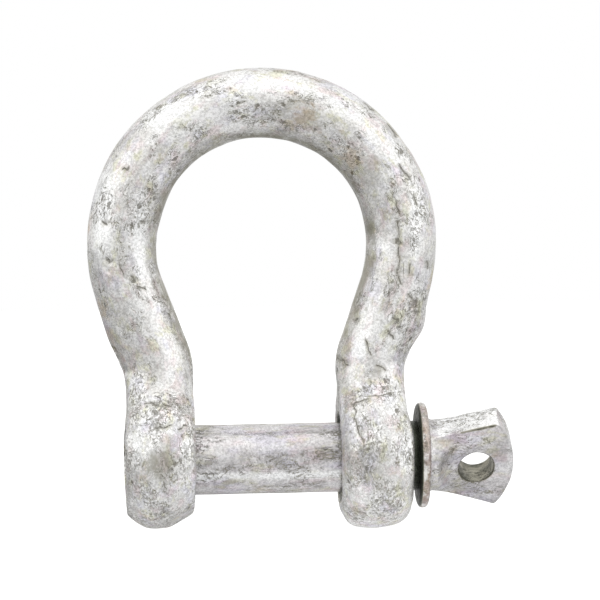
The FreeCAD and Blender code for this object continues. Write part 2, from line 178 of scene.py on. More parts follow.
def centreline_distance(x, z):
    """The distance in the XZ plane to the bar's centreline: upright leg, bend, leaning leg, bow."""
    lean, bend_end, bow_end = centreline()
    side = np.abs(x)
    return np.minimum.reduce([
        run_distance(side, z, (LEG_X, 0), (LEG_X, BEND_Z)),
        arc_distance(side, z, (LEG_X + BEND_RADIUS, BEND_Z), BEND_RADIUS, math.pi - lean, math.pi),
        run_distance(side, z, bend_end, bow_end),
        arc_distance(side, z, (0, BOW_CENTRE_Z), BOW_RADIUS, -lean, math.pi / 2),
    ])


def along_bar(points):
    """Each point's place along the bar from the crown, its place across the bar, and its y."""
    lean, bend_end, bow_end = centreline()
    x, y, z = points.T
    side = np.abs(x)
    angle = np.clip(math.pi / 2 - np.arctan2(z - BOW_CENTRE_Z, side), 0, math.pi / 2 + lean)
    bow_length = BOW_RADIUS * (math.pi / 2 + lean)
    down = np.clip(bow_end[1] - z, 0, None)
    along = np.where(down > 0, bow_length + down * 1.08, BOW_RADIUS * angle)
    middle = np.interp(z, [0, BEND_Z, bend_end[1], bow_end[1]], [LEG_X, LEG_X, bend_end[0], bow_end[0]])
    across = np.where(down > 0, side - middle, np.hypot(side, z - BOW_CENTRE_Z) - BOW_RADIUS)
    return np.stack([along * np.sign(x), across, y], -1)


# where the bar is fuller than round: the middle in the XZ plane, the reach and the extra radius
SWELLINGS = [((-15.2, 36.0), 4.5, 0.30), ((14.4, 30.0), 7.5, 0.28), ((22.4, 18.4), 2.8, 0.85),
             ((-22.6, 17.4), 3.2, 0.45), ((-20.8, 13.2), 2.0, 0.25)]


def bar_field(p):
    """The round bar. It swells across the pin towards each ear, is a little slimmer at the sides of
    the bow, where it was drawn out as it was bent, and is fuller in a few places."""
    x, y, z = p[..., 0], p[..., 1], p[..., 2]
    neck = 1 - smooth_step(NECK_LOW, NECK_HIGH, z)
    drawn = np.exp(-(((z - DRAWN_Z) / DRAWN_REACH) ** 2))
    depth = BAR_RADIUS - 0.02 - DRAWN_DEPTH * drawn
    for (middle_x, middle_z), reach, extra in SWELLINGS:
        depth = depth + extra * np.exp(-((x - middle_x) ** 2 + (z - middle_z) ** 2) / reach ** 2)
    width = depth + NECK_EXTRA * neck ** 1.5
    squareness = 2 + 1.3 * neck
    a, b = centreline_distance(x, z) / depth, np.abs(y) / width
    return ((a ** squareness + b ** squareness) ** (1 / squareness) - 1) * depth


def turned(p, outline, blend):
    """A solid turned about the X axis whose half section is convex. outline runs from one end to the
    other as (x, radius), and each pair of points in it gives one conical or flat face."""
    x, r = p[..., 0], np.hypot(p[..., 1], p[..., 2])
    solid = None
    for (x0, r0), (x1, r1) in zip(outline, outline[1:]):
        length = math.hypot(x1 - x0, r1 - r0)
        face = ((x - x0) * (r0 - r1) + (r - r0) * (x1 - x0)) / length
        solid = face if solid is None else smooth_both(solid, face, blend)
    return solid


# the ears' half sections, from the outer face of the threaded ear inwards and of the plain ear outwards
THREADED_OUTLINE = [
    (-JAW - THREADED_EAR, 0), (-JAW - THREADED_EAR, 7.5), (-18.1, 9.2), (-16.9, THREADED_EAR_RADIUS + 0.05),
    (-13.7, THREADED_EAR_RADIUS + 0.05), (-12.4, 9.25), (-JAW, 7.6), (-JAW, 0)]
PLAIN_OUTLINE = [
    (JAW, 0), (JAW, 6.7), (10.9, 8.5), (12.0, 9.8), (13.6, PLAIN_EAR_RADIUS), (17.2, PLAIN_EAR_RADIUS),
    (19.3, 9.5), (20.5, 8.1), (JAW + PLAIN_EAR, 6.4), (JAW + PLAIN_EAR, 0)]
# flats left by the hammer: where on the ear's axis each is measured from, its normal, its distance and
# its edge's rounding
THREADED_FLATS = [
    (-15.4, (0.02, -1, 0.02), 9.33, 0.25), (-15.2, (0.5, -0.25, -1), 8.75, 0.3),
    (-15.4, (-0.35, -1, 0.5), 9.2, 0.4), (-15.4, (0.1, 1, -0.2), 9.4, 0.5)]
PLAIN_FLATS = [
    (15.4, (0.03, -1, -0.17), 9.45, 0.3), (15.4, (0.0, -1, 0.52), 9.62, 0.3),
    (15.4, (0.62, -1, 0.1), 9.2, 0.3), (15.4, (0.1, 1, 0.3), 9.7, 0.5)]


def flattened(p, ear, flats):
    """An ear with its hammer flats."""
    for along, normal, distance, blend in flats:
        ear = smooth_both(ear, beyond(p - np.array((along, 0, 0)), normal, distance), blend)
    return ear


def bow_field(p):
    """The whole forging, with the plain ear's hole, and in the other ear a plain bore and counterbore
    where the thread will be cut."""
    x, z = p[..., 0], p[..., 2]
    threaded = flattened(p, turned(p, THREADED_OUTLINE, 0.4), THREADED_FLATS)
    plain = flattened(p, turned(p, PLAIN_OUTLINE, 0.5), PLAIN_FLATS)
    metal = smooth_union(np.where(x < 0, threaded, plain), bar_field(p), 2.6)
    # the legs run straight down into the ears, no wider than they are
    opening = 0.05 * np.maximum(z - LEGS_STRAIGHT, 0) ** 2
    side, above = np.abs(x), smooth_step(2.5, 7.0, z)
    outer = np.where(x < 0, JAW + THREADED_EAR - 0.4 * above, JAW + PLAIN_EAR - 1.0 * above)
    inner = np.where(x < 0, JAW - 0.1 * above, JAW + 0.1 * above)
    metal = smooth_both(metal, side - outer - opening, 0.4)
    metal = smooth_both(metal, inner - opening - side, 0.4)
    countersink = np.clip(JAW + COUNTERSINK - x, 0, COUNTERSINK)
    mouth_depth = JAW + MOUTH_DEPTH + MOUTH_RADIUS - EAR_BORE
    mouth = hole(p, np.clip(EAR_BORE + x + mouth_depth, EAR_BORE, MOUTH_RADIUS))
    threaded_bore = np.minimum(hole(p, EAR_BORE), mouth)
    bore = np.where(x > 0, hole(p, PLAIN_HOLE_RADIUS + countersink), threaded_bore)
    bore = np.where(z > 2 * PLAIN_HOLE_RADIUS, NOWHERE, bore)
    return smooth_both(metal, -bore, 0.4)


def head_field(p):
    """The pin's end past its collar, with the flat eye upright: neck, flare and flat fan."""
    x, y, upright_z = p[..., 0], p[..., 1], p[..., 2]
    root, tip = COLLAR_OUT + SEAT_PLAY, PIN_HIGH[0] - SKIN
    widest = tip - EYE_CORNER
    z = upright_z + EYE_DROOP * smooth_step(root, tip, x)
    flare = 0.4 * (1 - smooth_step(root, root + 0.8, x))
    neck = np.hypot(y, z) - NECK_RADIUS - flare
    neck = smooth_both(neck, x - (root + NECK_LENGTH), 0.5)
    # the fan's sides flare in a straight line, and its end is an arc about a centre on the axis
    half = FAN_ROOT + (EYE_HALF_WIDTH - FAN_ROOT) * (x - root - 1) / (widest - root - 1)
    end_radius = (EYE_HALF_WIDTH ** 2 + EYE_CORNER ** 2) / (2 * EYE_CORNER)
    end = np.hypot(x - tip + end_radius, z) - end_radius
    outline = smooth_both(np.abs(z) - half, end, 0.45)
    fan = smooth_both(outline, np.abs(y) - EYE_HALF_THICKNESS, 0.35)
    # scoops on both sides bring the round neck down to the fan's faces
    down = np.clip(x - (root + SCOOP_START), 0, SCOOP_RADIUS)
    rest = SCOOP_RADIUS ** 2 - (SCOOP_RADIUS - down) ** 2
    scoop = EYE_HALF_THICKNESS + SCOOP_RADIUS - np.sqrt(np.maximum(rest, 0))
    neck = smooth_both(neck, (np.abs(y) - scoop) * 0.7, 0.8)
    metal = smooth_union(neck, fan, 0.8)
    eye = np.hypot(x - EYE_HOLE_X, upright_z - EYE_HOLE_Z) - EYE_HOLE_RADIUS
    metal = smooth_both(metal, -eye, 0.3)
    return smooth_both(metal, (root + 0.02) - x, 0.15)


# ---- meshes ----

CORNERS = np.array([(i, j, k) for i in (0, 1) for j in (0, 1) for k in (0, 1)])
EDGES = [(a, b) for a in range(8) for b in range(a + 1, 8) if np.abs(CORNERS[a] - CORNERS[b]).sum() == 1]


def mesh_field(field, low, high, cell):
    """Points and quads on a field's surface: one point in each cell that the surface crosses."""
    low = np.array(low, float)
    count = np.ceil((np.array(high) - low) / cell).astype(int) + 1
    axes = [low[a] + cell * np.arange(count[a]) for a in range(3)]
    value = field(np.stack(np.meshgrid(*axes, indexing="ij"), -1))
    inside = value < 0

    def corner(grid, c):
        return grid[tuple(slice(o, n - 1 + o) for o, n in zip(CORNERS[c], count))]

    number = sum(corner(inside, c).astype(np.int8) for c in range(8))
    cells = np.argwhere((number > 0) & (number < 8))
    index = np.full(count - 1, -1)
    index[tuple(cells.T)] = np.arange(len(cells))
    points, crossings = np.zeros((len(cells), 3)), np.zeros((len(cells), 1))
    at = [value[tuple((cells + CORNERS[c]).T)] for c in range(8)]
    for a, b in EDGES:
        crossed = (at[a] < 0) != (at[b] < 0)
        t = (at[a] / np.where(crossed, at[a] - at[b], 1))[:, None]
        points += np.where(crossed[:, None], CORNERS[a] + t * (CORNERS[b] - CORNERS[a]), 0)
        crossings += crossed[:, None]
    points = low + cell * (cells + points / crossings)
    quads = []
    for axis in range(3):
        others = [a for a in range(3) if a != axis]
        one = [slice(None)] * 3
        two = [slice(None)] * 3
        one[axis], two[axis] = slice(None, -1), slice(1, None)
        starts = np.argwhere(inside[tuple(one)] != inside[tuple(two)])
        outward = inside[tuple(starts.T)] ^ (axis == 1)
        ring = []
        for u, v in ((0, 0), (-1, 0), (-1, -1), (0, -1)):
            step = np.zeros(3, int)
            step[others] = u, v
            ring.append(index[tuple((starts + step).T)])
        ring = np.stack(ring, 1)
        quads.append(np.where(outward[:, None], ring, ring[:, ::-1]))
    return points, np.concatenate(quads)


def gradient(field, p, step=0.02):
    """The field's slope at each point, from its values step to either side."""
    return np.stack([(field(p + step * e) - field(p - step * e)) / (2 * step) for e in np.eye(3)], -1)


def settle(field, points, quads, rounds=4):
    """Evens out a mesh along the surface and brings each point back onto it; gives the normals too."""
    starts, ends = np.concatenate([quads[:, [i, (i + 1) % 4]] for i in range(4)]).T
    degree = np.bincount(starts, minlength=len(points))[:, None]
    for _ in range(rounds):
        total = np.stack([np.bincount(starts, column[ends], len(points)) for column in points.T], -1)
        points = points + 0.5 * (total / degree - points)
        for _ in range(2):
            slope = gradient(field, points)
            length = np.maximum((slope ** 2).sum(-1), 0.25)
            points = points - (field(points) / length)[:, None] * slope
    slope = gradient(field, points)
    return points, slope / np.linalg.norm(slope, axis=1)[:, None]


def new_piece(name, points, faces):
    """An object from points in millimetres, smooth shaded."""
    mesh = bpy.data.meshes.new(name)
    mesh.from_pydata((np.asarray(points) * MM).tolist(), [], [list(map(int, f)) for f in faces])
    mesh.validate()
    mesh.polygons.foreach_set("use_smooth", [True] * len(mesh.polygons))
    piece = bpy.data.objects.new(name, mesh)
    bpy.context.scene.collection.objects.link(piece)
    return piece


def lathe(name, outline, around=96, ring=False):
    """A piece turned about the X axis. outline is a list of (x, radius), and a radius may be a function
    of the angle. It runs from end to end, with a fan to close each end, or round a ring's section."""
    points, faces = [], []
    for x, radius in outline:
        for i in range(around):
            angle = 2 * math.pi * i / around
            r = radius(angle) if callable(radius) else radius
            points.append((x, r * math.cos(angle), r * math.sin(angle)))
    total = len(points)
    last = total - around
    for start in range(0, total if ring else last, around):
        for i in range(around):
            a, b = start + i, start + (i + 1) % around
            faces.append((a, b, (b + around) % total, (a + around) % total))
    ends = () if ring else (0, last)
    for start in ends:
        centre = len(points)
        points.append((points[start][0], 0, 0))
        for i in range(around):
            a, b = start + i, start + (i + 1) % around
            faces.append((centre, a, b) if start else (centre, b, a))
    return new_piece(name, points, faces)


def combine(piece, other, operation):
    """Applies a boolean with another object and removes that object."""
    boolean = piece.modifiers.new("boolean", "BOOLEAN")
    boolean.operation, boolean.object, boolean.solver = operation, other, "EXACT"
    evaluated = piece.evaluated_get(bpy.context.evaluated_depsgraph_get())
    cut = bpy.data.meshes.new_from_object(evaluated)
    piece.modifiers.clear()
    piece.data = cut
    bpy.data.objects.remove(other)
    return piece


# ---- the forging's dents ----

def rough(points, size, offset=0.0):
    """Smooth noise between about -1 and 1, with lumps of about size millimetres."""
    shift = Vector((offset, 1.7 * offset, -offset))
    return np.array([noise.noise(Vector(p) / size + shift) for p in points.tolist()])


def relief(points, waves):
    """How far the forging's waves move its surface at each point, on the whole a little inwards. waves
    is a list of (depth, lump size, offset)."""
    return sum(d * (rough(points, s, o) - 0.12) for d, s, o in waves)


def craters(points, spacing, radius, depth, offset):
    """How far small round hollows, scattered in patches, move the surface: 0 or less."""
    shift = Vector((offset, 0, 0))
    away = np.array([noise.voronoi(Vector(p) / spacing + shift)[0][0] for p in points.tolist()])
    patch = smooth_step(-0.05, 0.25, rough(points, 6.0, offset))
    return -depth * patch * (1 - smooth_step(0.2, 1.0, away * spacing / radius))


# ---- materials ----

class Nodes:
    """A node tree, with short calls for the nodes used here. Lengths are in millimetres."""

    def __init__(self, name=None, tree=None):
        self.tree = tree
        if tree is None:
            self.material = bpy.data.materials.new(name)
            self.material.use_nodes = True
            self.tree = self.material.node_tree
            self.shader = self.tree.nodes["Principled BSDF"]
            place = self.tree.nodes.new("ShaderNodeTexCoord").outputs["Object"]
            self.place = self.vector("SCALE", place, scale=1 / MM)

    def link(self, value, socket):
        if isinstance(value, bpy.types.NodeSocket):
            self.tree.links.new(value, socket)
        else:
            socket.default_value = value

    def vector(self, operation, a, b=None, scale=None, output="Vector"):
        node = self.tree.nodes.new("ShaderNodeVectorMath")
        node.operation = operation
        self.link(a, node.inputs[0])
        if b is not None:
            self.link(b, node.inputs[1])
        if scale is not None:
            self.link(scale, node.inputs["Scale"])
        return node.outputs[output]

    def math(self, operation, a, b=0.0, clamp=False):
        node = self.tree.nodes.new("ShaderNodeMath")
        node.operation = operation
        node.use_clamp = clamp
        self.link(a, node.inputs[0])
        self.link(b, node.inputs[1])
        return node.outputs[0]

    def add(self, a, b):
        return self.math("ADD", a, b)

    def subtract(self, a, b):
        return self.math("SUBTRACT", a, b)

    def times(self, a, b):
        return self.math("MULTIPLY", a, b)

    def greater(self, a, b):
        return self.math("MAXIMUM", a, b)

    def dot(self, a, axis):
        return self.vector("DOT_PRODUCT", a, axis, output="Value")

    def attribute(self, name, output="Fac"):
        node = self.tree.nodes.new("ShaderNodeAttribute")
        node.attribute_name = name
        return node.outputs[output]

    def noise(self, size, detail=2.0, roughness=0.5, stretch=(1, 1, 1), offset=0.0, twist=0.0, place=None,
              colours=False):
        """Noise with lumps of about size millimetres, longer along an axis by its stretch."""
        where = self.vector("MULTIPLY", place or self.place, tuple(1 / (size * s) for s in stretch))
        where = self.vector("ADD", where, (offset, -offset, 0.5 * offset))
        node = self.tree.nodes.new("ShaderNodeTexNoise")
        self.link(where, node.inputs["Vector"])
        node.inputs["Scale"].default_value = 1.0
        node.inputs["Detail"].default_value = detail
        node.inputs["Roughness"].default_value = roughness
        node.inputs["Distortion"].default_value = twist
        return node.outputs["Color" if colours else "Fac"]

    def cells(self, size, offset=0.0, place=None, stretch=(1, 1, 1), ragged=0.0):
        """The distance to the nearest of scattered points about size millimetres apart, over size;
        ragged bends the space between them."""
        where = self.vector("MULTIPLY", place or self.place, tuple(1 / (size * s) for s in stretch))
        bend = self.noise(0.45 * size, detail=2, offset=offset + 3, place=place, colours=True)
        where = self.vector("ADD", where, self.vector("SCALE", bend, scale=ragged))
        where = self.vector("ADD", where, (offset, offset, -offset))
        node = self.tree.nodes.new("ShaderNodeTexVoronoi")
        self.link(where, node.inputs["Vector"])
        node.inputs["Scale"].default_value = 1.0
        return node.outputs["Distance"]

    def ramp(self, value, low, high, start=0.0, end=1.0):
        """Takes value from start at low to end at high, smoothly."""
        node = self.tree.nodes.new("ShaderNodeMapRange")
        node.interpolation_type = "SMOOTHSTEP"
        for socket, number in zip(list(node.inputs)[:5], (value, low, high, start, end)):
            self.link(number, socket)
        return node.outputs["Result"]

    def mix(self, factor, a, b, mode="MIX"):
        node = self.tree.nodes.new("ShaderNodeMix")
        node.data_type = "RGBA"
        node.blend_type = mode
        self.link(factor, node.inputs["Factor"])
        self.link(colour(a), node.inputs["A"])
        self.link(colour(b), node.inputs["B"])
        return node.outputs["Result"]

    def bump(self, height, depth, below=None):
        """Bump of a height field from 0 to 1; depth is in millimetres."""
        node = self.tree.nodes.new("ShaderNodeBump")
        node.inputs["Strength"].default_value = 1.0
        node.inputs["Distance"].default_value = depth * MM
        self.link(height, node.inputs["Height"])
        if below is not None:
            self.link(below, node.inputs["Normal"])
        return node.outputs["Normal"]


def colour(value):
    """A colour with its alpha; anything else is left as it is."""
    return (*value, 1.0) if isinstance(value, tuple) and len(value) == 3 else value


PIT = (0.11, 0.10, 0.08)
# dark olive for soil in hollows and cracks, and for painted shade and painted dark reflections
SOIL_AND_SHADE_COLOUR = (0.30, 0.285, 0.225)
# near black for the deepest painted shade, in holes and between parts, with some grime
DEEP_SHADE_AND_GRIME = (0.05, 0.056, 0.042)
BLOOM = (0.89, 0.895, 0.895)
# near white for rubbed zinc and for painted highlights and painted reflections
RUB_AND_HIGHLIGHT_COLOUR = (0.95, 0.96, 0.965)
# faint tints in soft patches: the patches' size, detail, roughness and step, the noise's value where
# they start and are full, their strength and the tint
TINTS = [
    (1.9, 4, 0.60, 13, 0.49, 0.64, 0.85, (0.96, 0.87, 0.885)),
    (2.8, 3, 0.50, 41, 0.50, 0.64, 0.85, (0.92, 0.92, 1.0)),
    (1.7, 4, 0.62, 17, 0.51, 0.65, 0.90, (0.90, 0.90, 0.75)),
]
COARSE_PITS, FINE_PITS = 1.25, 0.44  # their spacing
PIT_DEPTH, GRAIN_DEPTH = 0.09, 0.010
METALLIC = 0.8


class Zinc(Nodes):
    """The parts of a hot-dip zinc coat. The noises start from offset, are stretched by stretch, and lie
    along the bar if along_run is set."""

    def __init__(self, name, offset=0.0, stretch=(1, 1, 1), along_run=False):
        super().__init__(name)
        self.offset = offset
        self.stretch = stretch
        self.run = self.attribute("run", "Vector") if along_run else self.place
        self.mottle = self.lumps(0.95, 4, 0.6, 5, twist=0.5)
        self.uneven = self.subtract(self.mottle, 0.5)
        self.grain = self.noise(0.32, detail=3, roughness=0.62, offset=offset + 9)

    def lumps(self, size, detail, roughness, step, twist=0.0):
        """Noise in lumps of about size millimetres. Each has its own step, so that no two are alike."""
        return self.noise(size, detail, roughness, self.stretch, self.offset + step, twist, self.run)

    def ground(self, light, dark, bloom):
        """The coat's colour: soft clouds from light to dark, tints, white blooms, and rubbed places with
        painted highlights.
        """
        cloud = self.lumps(3.4, 4, 0.58, 0)
        shade = self.add(self.times(cloud, 0.6), self.times(self.mottle, 0.4))
        base = self.mix(self.ramp(shade, 0.40, 0.59), dark, light)
        for size, detail, roughness, step, low, high, strength, tint in TINTS:
            patches = self.ramp(self.lumps(size, detail, roughness, step), low, high, end=strength)
            base = self.mix(patches, base, tint, "MULTIPLY")
        blooms = self.ramp(self.lumps(2.3, 5, 0.62, 25), 0.50, 0.59, end=bloom)
        base = self.mix(blooms, base, BLOOM)
        # rubbed places and painted highlights and reflections, as marked on the mesh
        rubbed_and_highlight = self.add(self.attribute("rubbed_and_highlight"), self.times(self.uneven, 0.9))
        base = self.mix(self.ramp(rubbed_and_highlight, 0.15, 0.85, end=0.85), base, RUB_AND_HIGHLIGHT_COLOUR)
        return self.vector("SCALE", base, scale=self.ramp(self.grain, 0.38, 0.60, start=0.76, end=1.06))

    def hollows(self, pits, cracked):
        """How far each point lies in a pit and in a hair crack, from 0 to 1. Both gather in patches and
        where cracked is high, and the coarse pits only where the patches are strongest."""
        patches = self.ramp(self.lumps(3.6, 4, 0.6, 21), 0.42, 0.62)
        coarse_reach = self.times(self.ramp(patches, 0.25, 1.0), 0.40 * pits)
        patches = self.add(patches, cracked)
        fine_reach = self.add(self.times(patches, 0.46 * pits), 0.08)
        coarse = self.cells(COARSE_PITS, self.offset, self.run, self.stretch, ragged=0.6)
        coarse = self.math("DIVIDE", self.subtract(coarse_reach, coarse), 0.08, clamp=True)
        fine = self.cells(FINE_PITS, self.offset + 7, self.run, self.stretch, ragged=0.8)
        fine = self.math("DIVIDE", self.subtract(fine_reach, fine), 0.16, clamp=True)
        away = self.math("ABSOLUTE", self.subtract(self.lumps(1.3, 4, 0.62, 33, twist=1.5), 0.5))
        hair = self.ramp(away, 0.006, 0.030, start=1.0, end=0.0)
        hair = self.times(self.times(hair, self.ramp(patches, 0.2, 0.8)), self.ramp(self.grain, 0.40, 0.52))
        return self.greater(coarse, self.times(fine, 0.62)), hair

    def laps(self, across, within):
        """Each lap's dark line, broken and uneven, and the soil beside it, from 0 to 1."""
        across = self.math("ABSOLUTE", self.add(across, self.times(self.uneven, 6.0)))
        line = self.times(self.ramp(across, 0.3, 1.1, start=1.0, end=0.0), within)
        line = self.times(line, self.ramp(self.grain, 0.36, 0.54, start=0.25))
        return line, self.times(self.ramp(across, 0.5, 4.5, start=0.5, end=0.0), within)

    def soiled_and_shaded(self, base, stain):
        """base with what the mesh marks: soil in hollows, painted shade in holes, between parts and inside
        the bow, painted dark reflections along edges, and stains if it has a tint.
        """
        # the mesh's marks darken the colour: soil in hollows, and painted shade and painted dark
        # reflections, near black where the painted shade is deepest
        soil_and_shade = self.add(self.attribute("soil_and_shade"), self.uneven)
        base = self.mix(self.ramp(soil_and_shade, 0.25, 0.95, end=0.9), base, SOIL_AND_SHADE_COLOUR)
        base = self.mix(self.ramp(soil_and_shade, 1.1, 1.6), base, DEEP_SHADE_AND_GRIME)
        if stain:
            stained = self.add(self.attribute("stain"), self.times(self.uneven, 2.0))
            base = self.mix(self.ramp(stained, 0.25, 0.8, end=0.8), base, stain, "MULTIPLY")
        return base


def zinc(name, light, dark, bloom, pits, gloss, stain=None, **places):
    """A zinc material. light and dark are the ground's colours, bloom and pits how strong those are,
    and gloss the roughness from the darkest to the lightest mottling."""
    n = Zinc(name, **places)
    lap = n.attribute("lap", "Vector")
    across, within, cracked = (n.dot(lap, axis) for axis in ((1, 0, 0), (0, 1, 0), (0, 0, 1)))
    pit, hair = n.hollows(pits, cracked)
    line, beside = n.laps(across, within)
    base = n.ground(light, dark, bloom)
    base = n.mix(n.greater(n.times(hair, 0.95), beside), base, SOIL_AND_SHADE_COLOUR)
    base = n.mix(n.times(n.greater(pit, line), 0.72), base, PIT)
    height = n.subtract(n.times(n.mottle, 0.55), n.greater(n.greater(pit, hair), line))
    n.link(n.soiled_and_shaded(base, stain), n.shader.inputs["Base Color"])
    n.link(n.ramp(n.mottle, 0.36, 0.64, *gloss), n.shader.inputs["Roughness"])
    n.link(n.bump(n.grain, GRAIN_DEPTH, n.bump(height, PIT_DEPTH)), n.shader.inputs["Normal"])
    n.shader.inputs["Metallic"].default_value = METALLIC
    return n.material


def bow_zinc():
    return zinc("galvanised_bow", light=(0.90, 0.90, 0.90), dark=(0.72, 0.712, 0.695), bloom=0.7, pits=0.66,
                gloss=(0.22, 0.40), stain=(0.84, 0.74, 0.62), stretch=(1.5, 1, 1), along_run=True)


def pin_zinc():
    return zinc("galvanised_pin", light=(0.71, 0.695, 0.705), dark=(0.53, 0.515, 0.525), bloom=0.35,
                pits=0.45, gloss=(0.22, 0.36), offset=31, stretch=(2.2, 1, 1))


def collar_zinc():
    return zinc("galvanised_collar", light=(0.66, 0.60, 0.56), dark=(0.40, 0.33, 0.29), bloom=0.7, pits=0.4,
                gloss=(0.26, 0.42), offset=57)


# ---- the bow ----

# laps and cracks, where the metal folded or tore, on the front and on the back: the start and end of
# each in the XZ plane, its half width and its depth
FRONT_LAPS = [
    ((18.8, 36.1), (19.4, 34.4), 0.11, 0.06), ((19.1, 33.4), (19.3, 31.4), 0.10, 0.06),
    ((19.0, 30.9), (19.1, 30.3), 0.28, 0.10), ((19.1, 29.8), (19.0, 26.0), 0.11, 0.08),
    ((19.2, 25.5), (19.3, 24.6), 0.12, 0.06), ((20.8, 27.3), (20.6, 26.0), 0.14, 0.06),
    ((20.5, 23.0), (21.0, 22.2), 0.11, 0.06), ((21.5, 22.0), (21.6, 21.3), 0.26, 0.10),
    ((21.4, 20.6), (21.9, 20.4), 0.22, 0.10), ((18.2, 19.7), (18.6, 19.5), 0.22, 0.08),
    ((13.0, 19.4), (13.2, 19.6), 0.22, 0.08), ((23.4, 27.6), (23.3, 26.8), 0.16, 0.08),
    ((-17.2, 34.1), (-16.9, 33.9), 0.22, 0.10), ((-22.7, 34.1), (-22.5, 33.7), 0.22, 0.10),
    ((-22.2, 28.9), (-21.8, 28.5), 0.26, 0.12), ((-18.8, 26.3), (-18.4, 25.8), 0.20, 0.08),
    ((-17.8, 24.9), (-16.9, 24.6), 0.13, 0.06), ((-20.4, 28.0), (-20.0, 26.6), 0.09, 0.04),
    ((-19.6, 41.4), (-19.0, 41.7), 0.16, 0.06), ((-21.7, 16.0), (-20.4, 12.9), 0.34, 0.40),
    ((-17.2, 8.2), (-15.6, 8.3), 0.13, 0.08), ((-14.9, 8.1), (-13.8, 8.0), 0.13, 0.08),
    ((-15.9, 4.9), (-13.8, 5.1), 0.12, 0.10), ((-12.6, 4.7), (-11.6, 4.9), 0.12, 0.10),
    ((14.1, 8.6), (12.2, 7.6), 0.09, 0.10), ((12.2, 7.6), (12.4, 4.8), 0.10, 0.14),
    ((12.4, 4.8), (13.1, 2.6), 0.10, 0.12), ((14.1, 8.6), (17.7, 9.1), 0.06, 0.08),
    ((10.3, 14.2), (11.6, 13.2), 0.15, 0.12), ((14.4, 16.6), (14.7, 14.6), 0.10, 0.05),
    ((15.9, 13.2), (16.9, 12.4), 0.12, 0.06), ((17.4, 17.8), (18.0, 16.8), 0.16, 0.08),
    ((-8.6, 43.6), (-6.2, 43.9), 0.06, 0.04), ((-3.4, 50.4), (-2.2, 50.7), 0.07, 0.04),
    ((-1.2, 49.6), (-0.6, 50.1), 0.07, 0.04), ((19.6, 41.4), (20.9, 39.6), 0.14, 0.12),
    ((18.2, 47.3), (19.4, 45.7), 0.16, 0.15), ((14.9, 50.3), (16.2, 49.4), 0.10, 0.08),
    ((21.6, 37.2), (21.9, 35.8), 0.10, 0.06),
]
BACK_LAPS = [
    ((19.4, 34.0), (20.6, 28.0), 0.14, 0.10), ((-19.0, 38.0), (-20.3, 32.0), 0.14, 0.10),
    ((-4.0, 51.0), (2.0, 51.4), 0.12, 0.08), ((13.0, 4.5), (13.6, 0.5), 0.16, 0.15),
    ((-15.0, 11.0), (-14.6, 7.6), 0.14, 0.10), ((8.0, 46.6), (11.0, 45.6), 0.12, 0.08),
]
# brown stains: the middle and radius of each
STAINS = [
    ((-23.0, -2.0, 21.5), 2.6), ((-22.2, -2.0, 18.0), 2.4), ((-21.2, -2.4, 14.6), 1.8),
    ((24.4, -0.5, 25.0), 3.4), ((19.3, -4.0, 22.5), 1.4), ((17.4, -4.6, 21.8), 1.2),
    ((-24.6, -1.0, 33.5), 1.6), ((23.5, 2.5, 30.0), 2.6), ((-21.8, 3.5, 24.0), 2.8),
    ((-15.5, 8.0, 3.0), 2.6), ((13.0, -3.0, 44.5), 2.2), ((6.0, -4.4, 48.6), 3.0), ((12.5, -4.6, 42.5), 3.4),
]
# darker places, painted shade and painted dark reflections: the middle and the reach along X, Y and Z of
# each, and how dark it is
PAINTED_DARK_PLACES = [
    ((-15.2, -9.4, -0.1), (2.8, 3, 2.6), 0.66), ((15.6, -9.2, -2.2), (2.2, 3, 4.0), 0.40),
    ((15.7, -4.9, 11.8), (1.1, 3, 1.4), 0.55), ((5.0, -4.4, 49.0), (5.0, 4, 3.4), 0.52),
    ((15.6, -4.4, 40.6), (2.2, 3, 3.2), 0.50), ((-6.5, -4.0, 45.5), (4.0, 4, 1.6), 0.42),
    ((-13.0, -8.6, -6.0), (2.6, 3, 2.6), 0.35), ((14.6, -4.6, 33.5), (1.4, 3, 5.0), 0.42),
    ((-15.0, 8.6, -1.0), (3.0, 3, 3.0), 0.45), ((16.0, 8.8, 0.0), (3.0, 3, 4.0), 0.40),
    ((-10.0, 4.0, 46.5), (5.0, 4, 3.0), 0.42), ((19.0, 4.2, 22.0), (3.0, 3, 5.0), 0.38),
]
# places painted bright, partly rubbed zinc and partly painted highlights: the middle and the reach along X,
# Y and Z of each, and how bright it is
RUBS_AND_HIGHLIGHTS = [
    ((13.7, -5.0, 15.2), (0.6, 3, 2.4), 1.0), ((21.6, -4.0, 34.0), (1.2, 3, 7.0), 1.0),
    ((-17.5, -4.6, 31.5), (1.0, 3, 6.5), 1.25), ((-22.8, -3.0, 36.0), (1.6, 3, 8.0), 1.3),
    ((-14.5, -3.5, 49.0), (4.0, 3, 2.0), 1.0), ((-18.6, -8.5, 2.8), (1.0, 3, 2.4), 1.0),
    ((-11.6, -8.5, 1.9), (1.1, 3, 2.0), 1.0), ((19.3, -7.8, 1.5), (0.9, 3, 3.6), 1.0),
    ((8.0, 3.5, 48.0), (5.0, 4, 3.0), 1.0), ((-20.0, 4.0, 22.0), (2.0, 4, 6.0), 1.0),
]
# the forging's waves: the depth, lump size and offset of each
BOW_WAVES = [(0.10, 8.0, 3.1), (0.07, 3.2, 9.2), (0.03, 1.4, 4.4)]
HEAD_WAVES = [(0.09, 3.5, 6.0), (0.03, 1.3, 2.0)]
EAR_LUMPS = 0.07  # the ears' extra roughness
BOW_CRATERS = {"spacing": 1.9, "radius": 0.50, "depth": 0.12, "offset": 2.5}
FAR = 9.0  # stands for any distance past a lap's reach


